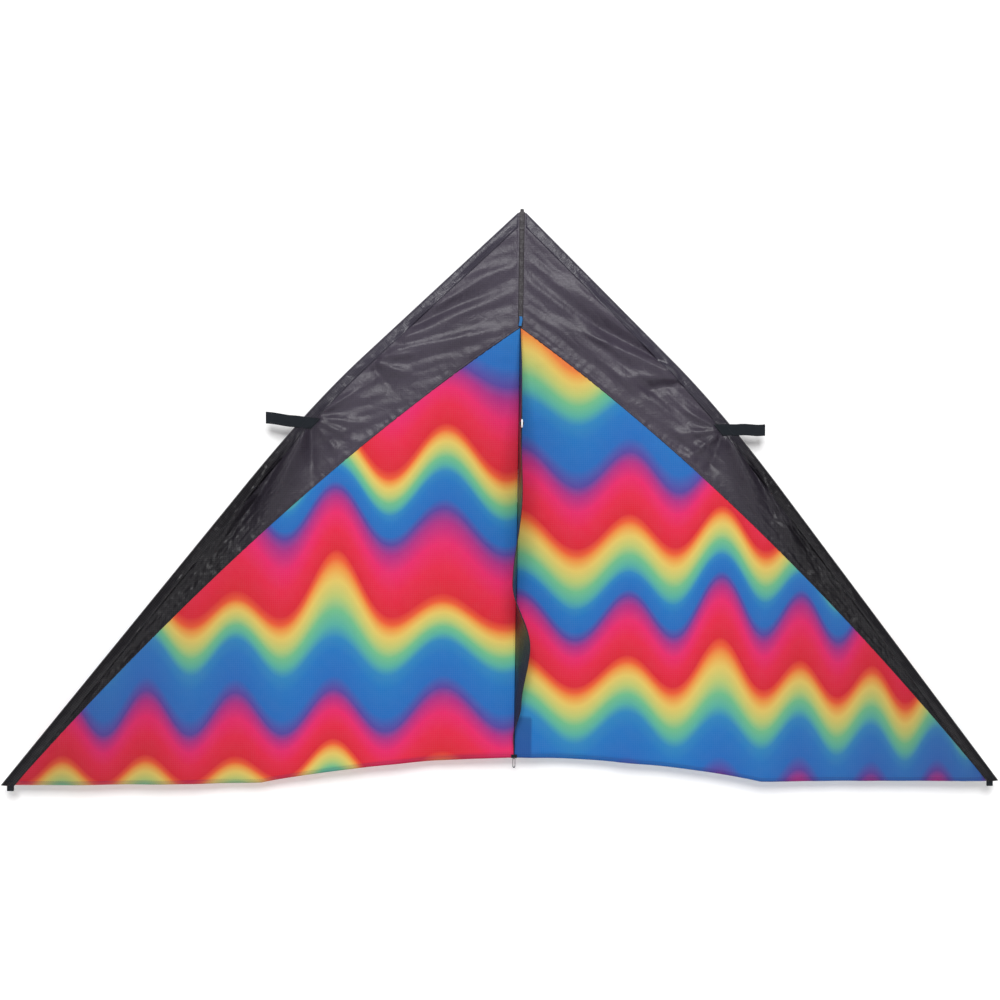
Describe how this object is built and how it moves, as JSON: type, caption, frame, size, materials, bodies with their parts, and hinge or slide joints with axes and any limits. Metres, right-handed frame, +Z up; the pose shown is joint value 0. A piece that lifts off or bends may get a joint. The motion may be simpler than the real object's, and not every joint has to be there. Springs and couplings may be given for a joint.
{
  "type": "delta kite",
  "caption": "Large delta kite with a central spine, swept leading-edge spars, a clipped rear spreader, a keel fin with a tow ring, and webbing pull straps and tail loops.",
  "frame": {"origin": "centre of the tow ring at the front edge of the keel, where the flying line is tied", "axes": "+X across the span to the wing on the right of the front view, +Y from the tow ring to the back of the sail, +Z up along the spine to the nose"},
  "size_m": [2.743, 0.3405, 1.5943],
  "materials": {
    "dark_cloth": "satin",
    "left_print": "satin",
    "right_print": "satin",
    "keel_cloth": "satin",
    "blue_cloth": "satin",
    "webbing": "matte",
    "rod": "satin",
    "ferrule": "satin",
    "vinyl": "satin",
    "ring": "gloss"
  },
  "bodies": {
    "spine": {"spine_rod_upper": "rod", "spine_rod_lower": "rod", "spine_ferrule": "ferrule", "spine_sleeve": "dark_cloth", "spine_nose_cap": "vinyl", "spine_tail_cap": "vinyl", "nose_patch": "webbing", "tail_pocket": "webbing", "tail_loop": "webbing", "centre_tab": "blue_cloth", "keel": "keel_cloth", "keel_patch_left": "webbing", "keel_patch_right": "webbing", "tow_loop": "webbing"},
    "tow_ring": {"tow_ring": "ring"},
    "spreader": {"spreader_ferrule": "ferrule", "spreader_rod_left": "rod", "spreader_rod_right": "rod", "spreader_cap_left": "vinyl", "spreader_cap_right": "vinyl"},
    "left_wing": {"left_leading_panel": "dark_cloth", "left_printed_panel": "left_print", "left_leading_sleeve": "dark_cloth", "left_leading_spar_upper": "rod", "left_leading_spar_lower": "rod", "left_leading_spar_ferrule": "ferrule", "left_leading_spar_nose_cap": "vinyl", "left_leading_spar_tip_cap": "vinyl", "left_spreader_fitting": "vinyl", "left_strap_anchor": "webbing", "left_tip_loop": "webbing", "left_tip_patch": "dark_cloth"},
    "right_wing": {"right_leading_panel": "dark_cloth", "right_printed_panel": "right_print", "right_leading_sleeve": "dark_cloth", "right_leading_spar_upper": "rod", "right_leading_spar_lower": "rod", "right_leading_spar_ferrule": "ferrule", "right_leading_spar_nose_cap": "vinyl", "right_leading_spar_tip_cap": "vinyl", "right_spreader_fitting": "vinyl", "right_strap_anchor": "webbing", "right_tip_loop": "webbing", "right_tip_patch": "dark_cloth", "right_corner_patch": "right_print"},
    "left_strap": {"left_strap_flap": "webbing"},
    "right_strap": {"right_strap_flap": "webbing"}
  },
  "joints": [
    {"name": "left_wing_fold", "type": "hinge", "parent": "spine", "child": "left_wing", "pos_m": [-0.01, 0.3, 0], "axis": [0, 0, 1], "range_deg": [0, 85]},
    {"name": "right_wing_fold", "type": "hinge", "parent": "spine", "child": "right_wing", "pos_m": [0.01, 0.3, 0], "axis": [0, 0, -1], "range_deg": [0, 85]},
    {"name": "spreader_lift_off", "type": "slide", "parent": "spine", "child": "spreader", "axis": [0, 1, 0], "range_m": [0, 0.15]},
    {"name": "tow_ring_swing", "type": "hinge", "parent": "spine", "child": "tow_ring", "pos_m": [0, 0.009, 0], "axis": [0, 0, 1], "range_deg": [-80, 80]},
    {"name": "left_strap_bend", "type": "hinge", "parent": "left_wing", "child": "left_strap", "pos_m": [-0.624, 0.2984, -0.01034], "axis": [0, 0, -1], "range_deg": [-60, 60], "stiffness_Nm_per_rad": 0.01},
    {"name": "right_strap_bend", "type": "hinge", "parent": "right_wing", "child": "right_strap", "pos_m": [0.624, 0.2984, -0.01034], "axis": [0, 0, 1], "range_deg": [-60, 60], "stiffness_Nm_per_rad": 0.01}
  ]
}
